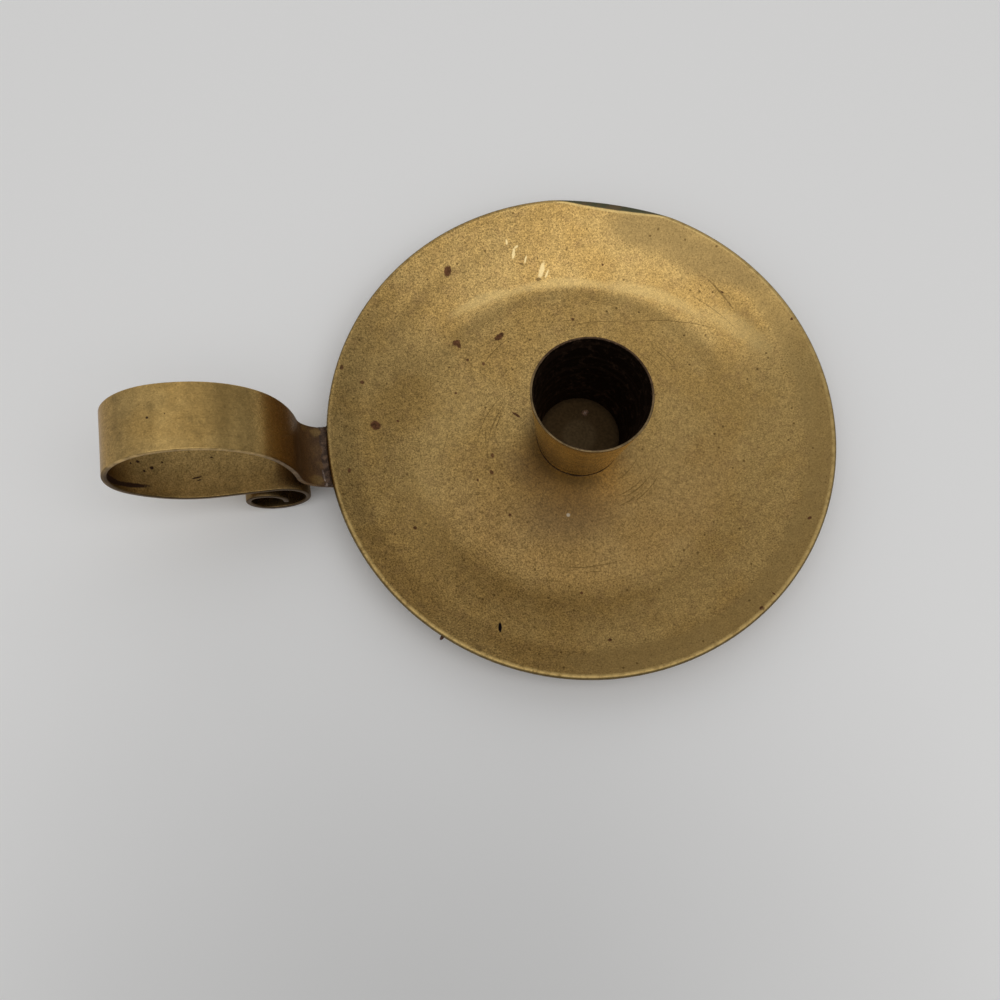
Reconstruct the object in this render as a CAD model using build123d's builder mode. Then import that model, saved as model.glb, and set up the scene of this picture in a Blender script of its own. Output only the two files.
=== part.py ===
# A small brass chamberstick: a round drip pan, a tapered candle socket and a strip handle bent
# into a finger loop. Everything is soldered together, so nothing moves.
#
# Millimetres. The table is at Z = 0, the pan's axis is Z, and the handle points along -X.

import os
from math import atan2, cos, degrees, radians, sin, sqrt

from build123d import *

os.makedirs("parts", exist_ok=True)

# The drip pan, spun from sheet
pan_radius = 50.8          # to the outside of its rounded edge, a four inch pan
pan_height = 8.8           # from the table to the top of the edge
pan_sheet = 1.2
wall_width = 12.0          # from the brim in to where it would meet the floor without the cove
cove_radius = 14.0         # rounds the floor into the wall
brim_width = 5.8           # the outermost band, a little steeper than the wall
brim_rise = 2.9
brim_bend_radius = 20.0

# The candle socket, a tube of thinner sheet, narrow end down
socket_mouth_radius = 11.6
socket_foot_radius = 8.7
socket_height = 22.5
socket_wall = 0.5
lip_round_share = 0.3      # rounding of the lip, as a share of the wall
foot_round_share = 0.75    # its lower edge is turned under a little, as a share of the wall

# The handle, one flat strip, with its bends measured at the middle of its thickness
strip_width = 12.2
strip_thickness = 1.0
tab_length = 6.5           # the part soldered under the brim
tab_reach = 1.0            # how far the tab runs on past the pan's edge
foot_bend_radius = 8.3
neck_heading = 91.0        # directions in degrees, with 0 towards the pan and 90 straight up
neck_top_heading = 109.0
crown_radius = 19.4
nose_radius = 11.7
nose_end_heading = 305.0
loop_clear_height = 25.3   # room for a finger, between the crown and the lower run
scroll_radius = 5.4
scroll_side_radius = 6.0
curl_end_radius = 4.2      # the free end is curled less tightly than the curl before it
curl_end_turn = 100.0
curl_clearance = 1.1       # between the curl and the run above it
neck_clearance = 1.1       # between the scroll and the bend at the foot of the neck
table_clearance = 0.35     # the scroll hangs just clear of the table

# The solder
solder_film = 0.15         # between the tab and the brim
handle_fillet = 1.5        # how far the solder spreads over the tab, out from the pan's edge
socket_solder_rise = 0.5   # the ring that is drawn in under the socket's turned edge
socket_solder_toe = 0.15


# Places that follow from those sizes
floor_top = pan_sheet
socket_foot_round = foot_round_share * socket_wall
edge_x = pan_radius - pan_sheet / 2
edge_z = pan_height - pan_sheet / 2
brim_foot = (pan_radius - brim_width, edge_z - brim_rise)
brim_slope = atan2(edge_z - brim_foot[1], edge_x - brim_foot[0])
tab_depth = pan_sheet / 2 + solder_film + strip_thickness / 2


def beside_brim(along, below):
    """A point on the handle's side, so far out along the brim and so far below its middle."""
    return (
        -edge_x - along * cos(brim_slope) - below * sin(brim_slope),
        edge_z + along * sin(brim_slope) - below * cos(brim_slope),
    )


def turn_offset(radius, heading, new_heading):
    """How far an arc that turns left carries the strip, from one heading to the next."""
    start, end = radians(heading), radians(new_heading)
    return radius * (sin(end) - sin(start)), radius * (cos(start) - cos(end))


with BuildPart() as drip_pan:
    with BuildSketch(Plane.XZ):
        with BuildLine():
            FilletPolyline(
                (0, pan_sheet / 2),
                (brim_foot[0] - wall_width, pan_sheet / 2),
                brim_foot,
                (edge_x, edge_z),
                radius=(cove_radius, brim_bend_radius),
            )
        trace(line_width=pan_sheet)
        with Locations((edge_x, edge_z)):
            Circle(pan_sheet / 2)
    revolve(axis=Axis.Z)
drip_pan.part.label = "drip_pan"
export_step(drip_pan.part, "parts/drip_pan.step")


with BuildPart() as candle_socket:
    with BuildSketch(Plane.XZ) as socket_section:
        with BuildLine():
            Polyline(
                (socket_foot_radius - socket_wall, floor_top),
                (socket_foot_radius, floor_top),
                (socket_mouth_radius, floor_top + socket_height),
                (socket_mouth_radius - socket_wall, floor_top + socket_height),
                close=True,
            )
        make_face()
        corners = socket_section.vertices().group_by(Axis.Y)
        fillet(corners[-1], radius=lip_round_share * socket_wall)
        fillet(corners[0].sort_by(Axis.X)[-1], radius=socket_foot_round)
    revolve(axis=Axis.Z)
candle_socket.part.label = "candle_socket"
export_step(candle_socket.part, "parts/candle_socket.step")


with BuildPart() as socket_solder:
    with BuildSketch(Plane.XZ):
        with BuildLine():
            Polyline(
                (socket_foot_radius - socket_foot_round, floor_top),
                (socket_foot_radius + socket_solder_toe, floor_top),
                (socket_foot_radius, floor_top + socket_solder_rise),
                close=True,
            )
        make_face()
        add(socket_section.sketch_local, mode=Mode.SUBTRACT)
    revolve(axis=Axis.Z)
socket_solder.part.label = "socket_solder"
export_step(socket_solder.part, "parts/socket_solder.step")


# The loop's own levels, up from the table: the lower run, then the crown
run_z = table_clearance + strip_thickness / 2 + 2 * scroll_radius
crown_z = run_z + strip_thickness + loop_clear_height

# The foot bend turns the tab up into the neck, and the scroll is tucked in under that bend
foot_start = beside_brim(tab_reach, tab_depth)
bend_centre = (
    foot_start[0] + foot_bend_radius * sin(brim_slope),
    foot_start[1] + foot_bend_radius * cos(brim_slope),
)
neck_foot = (
    bend_centre[0] - foot_bend_radius * sin(radians(neck_heading)),
    bend_centre[1] + foot_bend_radius * cos(radians(neck_heading)),
)
centre_distance = foot_bend_radius + strip_thickness + neck_clearance + scroll_radius
scroll_z = run_z - scroll_radius
scroll_x = bend_centre[0] - sqrt(centre_distance**2 - (bend_centre[1] - scroll_z) ** 2)

# The neck bows outwards as far as the crown needs, and the belly takes up what the nose leaves
crown_rise = turn_offset(crown_radius, neck_top_heading, 180)[1]
neck_rise_share = turn_offset(1, neck_heading, neck_top_heading)[1]
neck_radius = (crown_z - crown_rise - neck_foot[1]) / neck_rise_share
nose_drop = -turn_offset(nose_radius, 180, nose_end_heading)[1]
belly_drop_share = -turn_offset(1, nose_end_heading, 360)[1]
belly_radius = (crown_z - nose_drop - run_z) / belly_drop_share
curl_radius = 2 * scroll_radius - scroll_side_radius - strip_thickness - curl_clearance

with BuildPart() as handle_strip:
    with BuildSketch(Plane.XZ):
        with BuildLine():
            tab = Line(beside_brim(-tab_length, tab_depth), foot_start)
            foot_bend = JernArc(tab @ 1, tab % 1, foot_bend_radius, neck_heading + degrees(brim_slope) - 180)
            neck = JernArc(foot_bend @ 1, foot_bend % 1, neck_radius, neck_top_heading - neck_heading)
            crown = JernArc(neck @ 1, neck % 1, crown_radius, 180 - neck_top_heading)
            nose = JernArc(crown @ 1, crown % 1, nose_radius, nose_end_heading - 180)
            belly = JernArc(nose @ 1, nose % 1, belly_radius, 360 - nose_end_heading)
            run = Line(belly @ 1, (scroll_x, run_z))
            scroll_end = JernArc(run @ 1, run % 1, scroll_radius, -180)
            scroll_side = JernArc(scroll_end @ 1, scroll_end % 1, scroll_side_radius, -90)
            curl = JernArc(scroll_side @ 1, scroll_side % 1, curl_radius, -90)
            JernArc(curl @ 1, curl % 1, curl_end_radius, -curl_end_turn)
        trace(line_width=strip_thickness)
    extrude(amount=strip_width / 2, both=True)
handle_strip.part.label = "handle_strip"
export_step(handle_strip.part, "parts/handle_strip.step")


with BuildPart() as handle_solder:
    with BuildSketch(Plane.XZ):
        tab_face = tab_depth - strip_thickness / 2
        with BuildLine():
            Polyline(
                beside_brim(-tab_length, 0),
                beside_brim(-tab_length, tab_face),
                beside_brim(handle_fillet + pan_sheet / 2, tab_face),
                beside_brim(0, 0),
                close=True,
            )
        make_face()
    extrude(amount=strip_width / 2, both=True)
    add(drip_pan.part, mode=Mode.SUBTRACT)
    add(handle_strip.part, mode=Mode.SUBTRACT)
handle_solder.part.label = "handle_solder"
export_step(handle_solder.part, "parts/handle_solder.step")
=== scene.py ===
from math import atan2, cos, degrees, hypot, pi, radians, sin, sqrt, tan

import bpy
import numpy as np
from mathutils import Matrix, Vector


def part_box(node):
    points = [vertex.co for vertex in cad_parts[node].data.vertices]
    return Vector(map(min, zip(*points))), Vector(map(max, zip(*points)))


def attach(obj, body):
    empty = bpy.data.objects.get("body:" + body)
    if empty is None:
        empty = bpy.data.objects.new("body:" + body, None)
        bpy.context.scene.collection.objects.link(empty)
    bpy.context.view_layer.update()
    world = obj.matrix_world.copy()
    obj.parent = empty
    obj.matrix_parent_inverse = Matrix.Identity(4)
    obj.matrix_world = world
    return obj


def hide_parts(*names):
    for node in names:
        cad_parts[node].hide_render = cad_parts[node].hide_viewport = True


# A small brass chamberstick: a spun drip pan, a tapered candle socket and a strip handle bent into
# a finger loop, soldered together. The dictionaries hold millimetres and degrees.
# X and Y lie on the table with the handle along -X, and Z is up from the table.

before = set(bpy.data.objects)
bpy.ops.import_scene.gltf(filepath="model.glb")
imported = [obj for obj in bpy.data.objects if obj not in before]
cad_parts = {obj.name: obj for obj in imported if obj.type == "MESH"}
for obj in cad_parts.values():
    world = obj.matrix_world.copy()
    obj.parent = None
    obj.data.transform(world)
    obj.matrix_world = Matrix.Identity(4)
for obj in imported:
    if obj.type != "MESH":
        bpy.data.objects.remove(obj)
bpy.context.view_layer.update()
mm = 0.001
print("frame loaded:", ", ".join(sorted(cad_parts)))


def nodeBox(node):
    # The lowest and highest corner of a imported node, in millimetres
    return [np.array(corner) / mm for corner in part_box(node)]


def bringIn(name, data):
    # Puts a mesh, a lamp or a camera into the scene
    thing = bpy.data.objects.new(name, data)
    bpy.context.scene.collection.objects.link(thing)
    return thing


# Shapes

def bentPath(start, heading, pieces, stations):
    # Walks along straight and bent pieces, each given as a length and a turn. The heading turns at a
    # steady rate along each piece, and the place is the running sum of its cosine and sine.
    lengths, turns = np.array(pieces, float).T
    marks = np.r_[0, np.cumsum(lengths)]
    headings = heading + np.r_[0, np.cumsum(turns)]
    fine = np.linspace(0, marks[-1], 12000)
    middle = np.radians(np.interp((fine[1:] + fine[:-1]) / 2, marks, headings))
    across = start[0] + np.r_[0, np.cumsum(np.cos(middle))] * fine[1]
    up = start[1] + np.r_[0, np.cumsum(np.sin(middle))] * fine[1]
    return (
        np.interp(stations, fine, across),
        np.interp(stations, fine, up),
        np.radians(np.interp(stations, marks, headings)),
    )


def roundedLoop(corners, radii, spacing):
    # A closed outline through the corners, each rounded by an arc that touches both of its sides,
    # and with points along the sides no further apart than the spacing.
    corners = np.array(corners, float)
    points = []
    sides = zip(np.roll(corners, 1, 0), corners, np.roll(corners, -1, 0), radii)
    for before, corner, after, radius in sides:
        come = (corner - before) / np.linalg.norm(corner - before)
        leave = (after - corner) / np.linalg.norm(after - corner)
        turn = atan2(come[0] * leave[1] - come[1] * leave[0], come @ leave)
        side = np.array([-come[1], come[0]]) * np.sign(turn)
        centre = corner - come * radius * tan(abs(turn) / 2) + side * radius
        swing = np.linspace(0, abs(turn), 7)[:, None]
        arc = centre - side * radius * np.cos(swing) + come * radius * np.sin(swing)
        if points:
            points += fillSide(points[-1], arc[0], spacing)
        points += list(arc)
    points += fillSide(points[-1], points[0], spacing)
    return np.array(points)


def fillSide(here, there, spacing):
    # The points strictly between two places, evenly spaced
    share = np.linspace(0, 1, max(2, int(np.linalg.norm(there - here) / spacing) + 2))[1:-1]
    return list(here + share[:, None] * (there - here))


def unevenness(a, b, shortest, longest, seed, count=14):
    # The sum of sine waves over the a, b plane. Each runs its own way with its own wavelength, and
    # is as high as it is long. The sum is scaled to lie between -1 and 1 nearly everywhere.
    dice = np.random.default_rng(seed)
    length, way, shift = dice.uniform([[shortest], [0], [0]], [[longest], [2 * pi], [2 * pi]], (3, count))
    run = np.asarray(a)[..., None] * np.cos(way) + np.asarray(b)[..., None] * np.sin(way)
    return (np.sin(run * 2 * pi / length + shift) * length).sum(-1) / (0.5 * length.sum())


def wholeTurn(count):
    return np.arange(count) * 2 * pi / count


def roundAxis(r, turn, z):
    # From a radius, an angle and a height to a place
    return np.stack([r * np.cos(turn), r * np.sin(turn), z + 0 * turn], -1)


def makePiece(name, grid, body, nodes=(), tips=None, places=None):
    # Lays a grid of rows and columns as a closed mesh. The columns wrap round. The rows wrap round
    # too, unless tips gives the two points that close the first and the last row.
    rows, columns = grid.shape[:2]
    index = np.arange(rows * columns).reshape(rows, columns)
    beside, below = np.roll(index, -1, 1), np.roll(index, -1, 0)
    quads = np.stack([index, below, np.roll(below, -1, 1), beside], -1)
    points, faces = grid.reshape(-1, 3), quads.reshape(-1, 4).tolist()
    if tips is not None:
        first, last = len(points), len(points) + 1
        points = np.vstack([points, tips])
        faces = quads[:-1].reshape(-1, 4).tolist()
        faces += np.stack([np.full(columns, first), index[0], beside[0]], -1).tolist()
        faces += np.stack([index[-1], np.full(columns, last), beside[-1]], -1).tolist()
    mesh = bpy.data.meshes.new(name)
    mesh.from_pydata((points * mm).tolist(), [], faces)
    mesh.shade_smooth()
    if places is not None:
        layer = mesh.attributes.new("stripPlace", "FLOAT_VECTOR", "POINT")
        layer.data.foreach_set("vector", places.astype(np.float32).ravel())
    piece = bringIn(name, mesh)
    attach(piece, body)
    if nodes:
        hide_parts(*nodes)
    print("made", name, "with", len(faces), "faces")
    return piece


# Finishes

class Nodes:
    # Short ways to lay the nodes of a material or of the world
    def __init__(self, tree):
        self.tree = tree

    def add(self, kind, values=None, **settings):
        # The values go to the node's inputs, by name or number
        node = self.tree.nodes.new(kind)
        for key, value in settings.items():
            setattr(node, key, value)
        for key, value in (values or {}).items():
            self.feed(node.inputs[key], value)
        return node

    def feed(self, entry, value):
        if isinstance(value, bpy.types.NodeSocket):
            self.tree.links.new(value, entry)
        elif isinstance(value, (tuple, list)) and entry.type == "RGBA":
            entry.default_value = (*value, 1)
        else:
            entry.default_value = value

    def math(self, operation, *values):
        return self.add("ShaderNodeMath", dict(enumerate(values)), operation=operation).outputs[0]

    def folded(self, operation, values):
        whole = values[0]
        for value in values[1:]:
            whole = self.math(operation, whole, value)
        return whole

    def times(self, *values):
        return self.folded("MULTIPLY", values)

    def plus(self, *values):
        return self.folded("ADD", values)

    def most(self, *values):
        return self.folded("MAXIMUM", values)

    def swayed(self, value, grain, size):
        # The value, moved up and down by the grain over that range
        return self.plus(value, self.times(self.math("SUBTRACT", grain, 0.5), size))

    def vector(self, operation, a, b=(0, 0, 0), scale=1.0):
        node = self.add("ShaderNodeVectorMath", {0: a, 1: b, 3: scale}, operation=operation)
        return node.outputs["Value" if operation in ("LENGTH", "DOT_PRODUCT") else "Vector"]

    def parts(self, value):
        return self.add("ShaderNodeSeparateXYZ", {0: value}).outputs

    def step(self, value, start, end, low=0.0, high=1.0, way="SMOOTHSTEP"):
        # Goes from low to high as the value passes from start to end
        numbers = dict(enumerate((value, start, end, low, high)))
        return self.add("ShaderNodeMapRange", numbers, interpolation_type=way).outputs[0]

    def tint(self, share, under, over, way="MIX"):
        colours = {0: share, 6: under, 7: over}
        return self.add("ShaderNodeMix", colours, data_type="RGBA", blend_type=way).outputs[2]

    def fade(self, under, over, value, start, end, high=1.0):
        # One colour going over into another as the value passes from start to end
        return self.tint(self.step(value, start, end, high=high), under, over)

    def lay(self, under, over, mask, share):
        # One colour laid over another where the mask is, so thickly
        return self.tint(self.times(mask, share), under, over)

    def toned(self, colour, value, start, end, low, high):
        # Makes the colour low to high times as bright as the value passes from start to end
        return self.tint(1.0, colour, self.step(value, start, end, low, high), "MULTIPLY")

    def shaded(self, colour, grain, depth):
        # Makes the colour darker and lighter by the grain, by up to that share
        return self.toned(colour, grain, 0.28, 0.72, 1 - depth, 1 + depth)


class Finish(Nodes):
    # One material. Its place is the Object coordinate in millimetres.
    def __init__(self, name, metallic=1.0, attribute=None):
        self.material = bpy.data.materials.new(name)
        self.material.use_nodes = True
        super().__init__(self.material.node_tree)
        self.shader = self.tree.nodes["Principled BSDF"]
        self.shader.inputs["Metallic"].default_value = metallic
        source = self.add("ShaderNodeTexCoord").outputs["Object"]
        self.place = self.vector("SCALE", source, scale=1 / mm)
        if attribute:
            self.along = self.add("ShaderNodeAttribute", attribute_name=attribute).outputs["Vector"]

    def towards(self, x, y):
        # How far a place lies in that direction
        return self.vector("DOT_PRODUCT", self.place, (x, y, 0.0))

    def noise(self, size, detail=2.0, roughness=0.5, at=None, stretch=None):
        # Cloudy noise with blotches of about that size in millimetres
        spot = at or self.place
        if stretch:
            spot = self.vector("MULTIPLY", spot, stretch)
        values = {"Vector": spot, "Scale": 1 / size, "Detail": detail, "Roughness": roughness}
        return self.add("ShaderNodeTexNoise", values).outputs["Fac"]

    def specks(self, size, inner, outer, few, many):
        # Round specks, one at most in each cell of that size. They fade between the two distances, in
        # cell widths. A cell has one where its own random number is past few, or surely past many.
        node = self.add("ShaderNodeTexVoronoi", {"Vector": self.place, "Scale": 1 / size})
        chance = self.parts(node.outputs["Color"])[0]
        return self.times(self.step(node.outputs["Distance"], outer, inner), self.step(chance, few, many))

    def marks(self, ovals, at, grain, ragged=0.3, soft=0.2):
        # 1 inside any of the ovals and 0 outside, with ragged outlines. Each oval is the X and Y of its
        # centre, its two radii and a turn.
        nearest = 9.0
        for x, y, wide, high, turn in ovals:
            values = {"Vector": at, "Location": (x, y, 0), "Scale": (wide, high, 1)}
            values["Rotation"] = (0, 0, radians(turn))
            oval = self.add("ShaderNodeMapping", values, vector_type="TEXTURE")
            nearest = self.math("MINIMUM", self.vector("LENGTH", oval.outputs[0]), nearest)
        return self.step(self.swayed(nearest, grain, 2 * ragged), 1 + soft, 1 - soft)

    def relief(self, height, depth):
        # Bump: height 1 stands depth millimetres above height 0
        node = self.add("ShaderNodeBump", {"Strength": 1.0, "Distance": depth * mm, "Height": height})
        self.feed(self.shader.inputs["Normal"], node.outputs[0])

    def coat(self, pieces, colour, roughness, metallic=None, glance=None):
        # The glance is the tint of reflections seen along the surface
        self.feed(self.shader.inputs["Base Color"], colour)
        self.feed(self.shader.inputs["Roughness"], roughness)
        if metallic is not None:
            self.feed(self.shader.inputs["Metallic"], metallic)
        if glance:
            self.feed(self.shader.inputs["Specular Tint"], glance)
        for piece in pieces:
            piece.data.materials.append(self.material)


def stroke(x1, y1, x2, y2, width):
    # A thin oval from one place to another, for Finish.marks
    run, rise = x2 - x1, y2 - y1
    return x1 + run / 2, y1 + rise / 2, hypot(run, rise) / 2, width / 2, degrees(atan2(rise, run))


# The drip pan: sheet spun into a dish, with a rounded edge

panHigh = nodeBox("drip_pan")[1]
pan = {
    "radius": panHigh[0],
    "height": panHigh[2],
    "sheet": 1.2,
    "wallWidth": 12.0,
    "cove": 14.0,
    "brimWidth": 5.8,
    "brimRise": 2.9,
    "brimBend": 20.0,
    "columns": 396,
    "floorRows": 84,
    "brimRows": 32,
    "wave": 0.07,            # how uneven the sheet is
    "crestWave": 0.10,       # how much the edge rises and falls round the pan
    "ring": 0.115,           # a shallow ring left in the far wall by the spinning tool
    "ringRadius": 39.0,
    "ringWidth": 11.0,
    "dentHeading": 73.5,     # where the edge is knocked down
    "dentWidth": 27.0,
    "dentSlope": 22.0,
    "dentDraw": 0.12,        # how far it is drawn in, as a share of how far out it lies
    "creaseRound": 0.2,
    "gold": (0.430, 0.272, 0.088),
    "paleGold": (0.465, 0.308, 0.110),
    "olive": (0.400, 0.268, 0.098),
    "dull": (0.325, 0.200, 0.078),
    # painted dark reflection
    "reflectionDark": (0.285, 0.190, 0.072),
    # painted shade on the near side and painted light on the far side
    "nearShadeTone": 0.85,
    "farLightTone": 1.18,
    "leftTone": 0.78,        # how much darker the brim is beside the handle
    "nearDull": 0.22,        # how much rougher the tarnished near side is
    "speck": (0.130, 0.078, 0.026),
    "brown": (0.105, 0.042, 0.022),
    "black": (0.010, 0.007, 0.009),
    "bright": (0.72, 0.53, 0.22),
    "scuff": (0.92, 0.72, 0.36),
    "crest": (0.60, 0.425, 0.165),
    "verdigris": (0.052, 0.060, 0.030),
    "soot": (0.076, 0.047, 0.021),
    "deepSoot": (0.028, 0.017, 0.010),
    "paleSoot": (0.135, 0.094, 0.048),
    # painted shadow round the socket's foot
    "footShade": (0.070, 0.050, 0.026),
    "footTarnishShade": (0.135, 0.088, 0.046),
    "nearTarnishShade": (0.165, 0.108, 0.060),
    "wax": (0.56, 0.47, 0.34),
    "rim": (0.085, 0.066, 0.034),
    "greenBrown": (0.105, 0.070, 0.034),
    "underBrown": (0.17, 0.105, 0.045),
    "underGold": (0.31, 0.20, 0.080),
}
pan["half"] = pan["sheet"] / 2
pan["dentReach"] = sqrt(pan["radius"] ** 2 - (pan["dentWidth"] / 2) ** 2)


def panLine():
    # The middle of the sheet, from the axis out to the edge: floor, cove, wall, brim bend, brim
    half = pan["half"]
    edgeX, edgeZ = pan["radius"] - half, pan["height"] - half
    brimX, brimZ = pan["radius"] - pan["brimWidth"], edgeZ - pan["brimRise"]
    wallX, wallZ = brimX - pan["wallWidth"], half
    wallSlope, brimSlope = atan2(brimZ - wallZ, brimX - wallX), atan2(edgeZ - brimZ, edgeX - brimX)
    coveCut = pan["cove"] * tan(wallSlope / 2)
    bendCut = pan["brimBend"] * tan((brimSlope - wallSlope) / 2)
    wallLength, brimLength = hypot(brimX - wallX, brimZ - wallZ), hypot(edgeX - brimX, edgeZ - brimZ)
    pieces = [
        (wallX - coveCut, 0),
        (pan["cove"] * wallSlope, degrees(wallSlope)),
        (wallLength - coveCut - bendCut, 0),
        (pan["brimBend"] * (brimSlope - wallSlope), degrees(brimSlope - wallSlope)),
        (brimLength - bendCut, 0),
    ]
    return pieces, sum(length for length, turn in pieces), brimSlope


def besideBrim():
    # Where the middle of the sheet ends beside the handle, and the ways out along the brim and down
    # from it
    slope = panLine()[2]
    edge = np.array([pan["half"] - pan["radius"], pan["height"] - pan["half"]])
    return edge, np.array([-cos(slope), sin(slope)]), np.array([-sin(slope), -cos(slope)])


def makePan():
    # The section is the middle line moved half a sheet up, then a half circle round the edge, then
    # the middle line moved half a sheet down. It is carried round the axis.
    pieces, length, slope = panLine()
    floor = np.linspace(0.5, length - 6, pan["floorRows"])
    stations = np.r_[floor, np.linspace(length - 5.8, length - 0.02, pan["brimRows"])]
    half = pan["half"]
    radius, height, heading = bentPath((0, half), 0, pieces, stations)
    out, up = -np.sin(heading) * half, np.cos(heading) * half
    swing = slope + np.radians(np.linspace(84, -84, 15))
    tip = bentPath((0, half), 0, pieces, [length])
    section = np.vstack([
        np.c_[radius + out, height + up],
        np.c_[tip[0] + half * np.cos(swing), tip[1] + half * np.sin(swing)],
        np.c_[radius - out, height - up][::-1],
    ])
    r, phi = np.meshgrid(section[:, 0], wholeTurn(pan["columns"]), indexing="ij")
    x, y, z = np.moveaxis(roundAxis(r, phi, section[:, 1:]), -1, 0)
    # The sheet is a little uneven, above its flat resting face
    share = r / pan["radius"]
    z += pan["wave"] * (0.5 + 0.5 * unevenness(x, y, 14, 46, 5)) * np.minimum(1, share * 1.5)
    z += pan["crestWave"] * (np.sin(2 * phi + 0.6) - 0.5) * share ** 5
    # The spinning tool left a shallow ring in the wall, deepest on the far side: a sine wave of the
    # radius, faded out
    past = (r - pan["ringRadius"]) / pan["ringWidth"]
    faded = (0.5 + 0.5 * np.sin(phi)) * np.exp(-((past - 0.25) / 0.55) ** 4)
    z += pan["ring"] * faded * np.sin(2 * pi * past)
    # Beyond a straight crease the edge is knocked down
    way = radians(pan["dentHeading"])
    past = x * cos(way) + y * sin(way) - pan["dentReach"]
    past = np.where(past > 0, np.hypot(past, pan["creaseRound"]) - pan["creaseRound"], 0)
    z -= past * tan(radians(pan["dentSlope"]))
    x -= past * pan["dentDraw"] * cos(way)
    y -= past * pan["dentDraw"] * sin(way)
    tips = [(0, 0, section[0, 1]), (0, 0, section[-1, 1])]
    return makePiece("dripPan", np.stack([x, y, z], -1), "root", ["drip_pan"], tips)


def finishPan(piece):
    f = Finish("panBrass")
    x, y = f.parts(f.place)[:2]
    flat = f.vector("MULTIPLY", f.place, (1, 1, 0))
    radius = f.vector("LENGTH", flat)
    # The pan unrolled: the radius, and the distance round it at one radius. The seam lies opposite
    # the middle heading.
    middle, unrolled = 160.0, 20.0
    values = {"Vector": flat, "Angle": radians(-middle)}
    spun = f.parts(f.add("ShaderNodeVectorRotate", values, rotation_type="Z_AXIS").outputs[0])
    # Made ahead of its feeds, so that the renderer works out the marks on that plane after the
    # others. All at once they would be too many values for one shader.
    join = f.add("ShaderNodeCombineXYZ", {0: radius})
    f.feed(join.inputs[1], f.times(f.math("ARCTAN2", spun[1], spun[0]), unrolled))
    polar = join.outputs[0]

    def sweep(radius1, heading1, radius2, heading2, width):
        # A stroke on that plane, from one radius and heading to another
        along1, along2 = (radians(heading - middle) * unrolled for heading in (heading1, heading2))
        return stroke(radius1, along1, radius2, along2, width)

    clouds = f.noise(13, 3, 0.55)
    mottle = f.noise(2.4, 4, 0.6)
    grain, grit = f.noise(0.34, 3, 0.9), f.noise(1.3, 3, 0.7)
    rag = f.noise(0.55, 2)

    colour = f.fade(pan["gold"], pan["paleGold"], clouds, 0.38, 0.64)
    colour = f.fade(colour, pan["dull"], mottle, 0.46, 0.72, 0.45)
    # The brim is smoother and more olive on the side away from the handle
    away = f.step(f.towards(cos(-0.3), sin(-0.3)), -12, 16)
    wander = f.plus(radius, f.times(clouds, 5))
    smooth = f.times(f.step(wander, 47.0, 49.0), away)
    colour = f.lay(colour, pan["olive"], smooth, 0.6)
    # A painted dark reflection across the far right of the floor and wall, where the grain is also weaker
    darkReflection = f.marks([stroke(13.5, 45.0, 31.0, 38.2, 7.6), stroke(22.0, 41.0, 43.0, 25.5, 6.6)], flat,
                     mottle, 0.35, 0.42)
    colour = f.lay(colour, pan["reflectionDark"], darkReflection, 0.8)
    # Darker towards the near side and paler towards the far side: painted shade and painted reflection of
    # the overhead light. The near floor below the socket is darkened most, a painted reflection of the
    # socket's dark side.
    colour = f.toned(colour, y, -26, 28, pan["nearShadeTone"], pan["farLightTone"])
    colour = f.toned(colour, f.towards(-0.82, 0.57), 20, 38, 1.0, pan["leftTone"])
    nearFloorShade = f.times(f.step(y, 4, -16), f.step(radius, 36, 28))
    colour = f.lay(colour, pan["dull"], nearFloorShade, 0.35)
    # Fine grain all over, a little weaker on the side away from the handle, and scattered pits
    plain = f.most(f.times(smooth, 0.6), f.times(away, 0.25), f.times(darkReflection, 0.5))
    colour = f.tint(plain, f.shaded(f.shaded(colour, grain, 0.62), grit, 0.14), colour)
    specks, pits = f.specks(0.75, 0.14, 0.30, 0.45, 0.55), f.specks(2.2, 0.08, 0.15, 0.55, 0.6)
    colour = f.lay(f.lay(colour, pan["speck"], specks, 0.40), pan["speck"], pits, 0.80)
    # Long scratches round the pan, from turning candle stubs and scraping out wax
    lines = f.noise(1.0, 3, 0.6, at=polar, stretch=(3.2, 0.055, 1))
    band = f.times(f.step(radius, 12, 16), f.step(radius, 40, 30))
    arcs = f.times(f.step(lines, 0.615, 0.665), band, f.step(f.noise(9, 2), 0.42, 0.58))
    colour = f.lay(colour, pan["speck"], arcs, 0.5)
    scratches = f.marks([sweep(*row) for row in (
        (17.6, 140, 21.5, 181, 0.16), (16.4, 146, 19.7, 189, 0.16), (16.5, 154, 17.4, 172, 0.20),
        (26.7, 171, 29.6, 189, 0.14), (28.0, 252, 27.4, 277, 0.24), (28.7, 263, 28.8, 271, 0.16),
        (31.5, 246, 30.6, 258, 0.16), (24.4, 87, 27.7, 59, 0.14), (27.7, 59, 37.9, 30, 0.14),
        (39.5, 42, 40.5, 26, 0.18), (43.8, 43, 42.5, 31, 0.30), (25.2, 133, 25.9, 117, 0.22),
        (15.0, 292, 15.6, 314, 0.24), (15.9, 296, 16.6, 320, 0.24), (16.9, 288, 17.2, 306, 0.24),
        (17.8, 300, 18.1, 324, 0.20), (12.2, 300, 12.7, 330, 0.20),
    )], polar, rag, 0.9, 0.45)
    colour = f.lay(colour, pan["speck"], scratches, 0.62)
    # A painted highlight: a paler band where the floor bulges on the handle's side
    bulgeHighlight = f.marks([sweep(22, 138, 31, 186, 7.5), sweep(31, 184, 40, 212, 7.5)], polar, clouds, 0.3, 0.6)
    colour = f.lay(colour, pan["bright"], bulgeHighlight, 0.10)
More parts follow.
